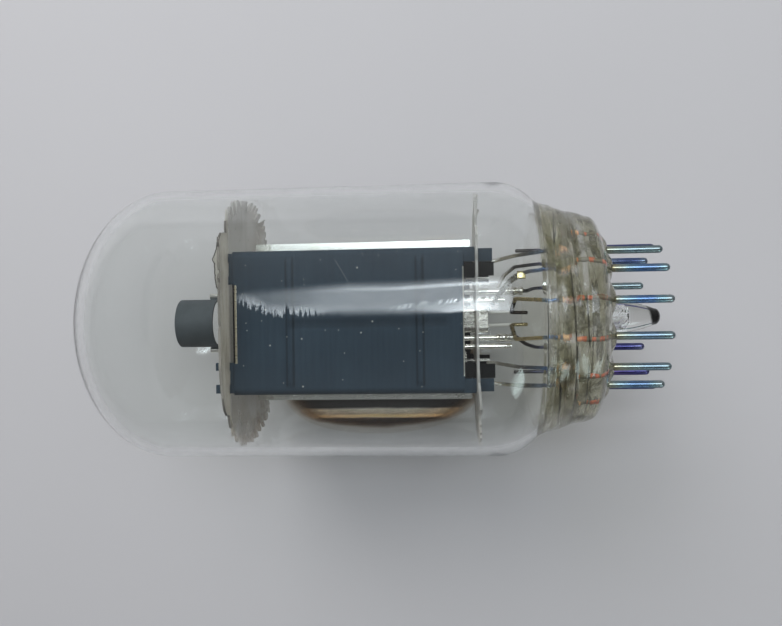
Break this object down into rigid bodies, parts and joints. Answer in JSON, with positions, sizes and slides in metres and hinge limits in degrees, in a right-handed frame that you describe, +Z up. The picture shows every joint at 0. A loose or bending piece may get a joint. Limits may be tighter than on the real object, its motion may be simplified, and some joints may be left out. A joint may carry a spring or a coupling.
{
  "type": "vacuum tube",
  "caption": "All-glass electron tube: domed clear bulb round a grey box anode held between mica discs, on a thick glass base with a ring of stiff contact pins and a sealed exhaust tip.",
  "frame": {"origin": "centre of the pin circle, at the level where the pins leave the glass base", "axes": "+X along the tube towards the pin tips, +Z up as the tube lies, opposite the empty pin place, +Y to the side"},
  "size_m": [0.0798, 0.0374, 0.0374],
  "materials": {
    "bulb_glass": "clear, polished",
    "base_glass": "thick, grey-olive, pressed",
    "tip_glass": "clear, fire-polished",
    "pin_metal": "heat-tinted straw to blue",
    "seal_copper": "oxidised copper sheath",
    "lead_wire": "drawn nickel wire",
    "dark_lead": "oxidised blue-black wire",
    "gold_lead": "straw-tinted nickel wire",
    "nickel": "bright nickel",
    "grid_wire": "fine drawn wire",
    "clear_mica": "clear cleaved mica",
    "brown_mica": "smoky cleaved mica",
    "anode_grey": "matt blue-grey coated sheet",
    "oxide_white": "matt white oxide",
    "blackened_metal": "matt black coated sheet",
    "getter_residue": "burnt powder",
    "getter_mirror": "metallic mirror with brown edge"
  },
  "bodies": {
    "root": {"glass_bulb": "bulb_glass", "button_stem": "base_glass", "exhaust_tip": "tip_glass", "base_pins": "pin_metal", "seal_wires": "seal_copper", "anode_leads": "lead_wire", "screen_grid_leads": "dark_lead", "control_grid_lead": "dark_lead", "heater_leads": "gold_lead", "cathode_lead": "lead_wire", "beam_plate_lead": "lead_wire", "spare_leads": "dark_lead", "lead_sleeves": "nickel", "lower_mica": "clear_mica", "upper_mica": "brown_mica", "anode_front": "anode_grey", "anode_rear": "anode_grey", "beam_plates": "nickel", "cathode_sleeve": "nickel", "cathode_coating": "oxide_white", "cathode_tab": "nickel", "heater": "oxide_white", "control_grid_posts": "nickel", "control_grid_winding": "grid_wire", "screen_grid_posts": "nickel", "screen_grid_winding": "grid_wire", "radiator": "blackened_metal", "getter_channel": "nickel", "getter_charge": "getter_residue", "getter_support": "nickel", "getter_film": "getter_mirror"}
  },
  "joints": []
}
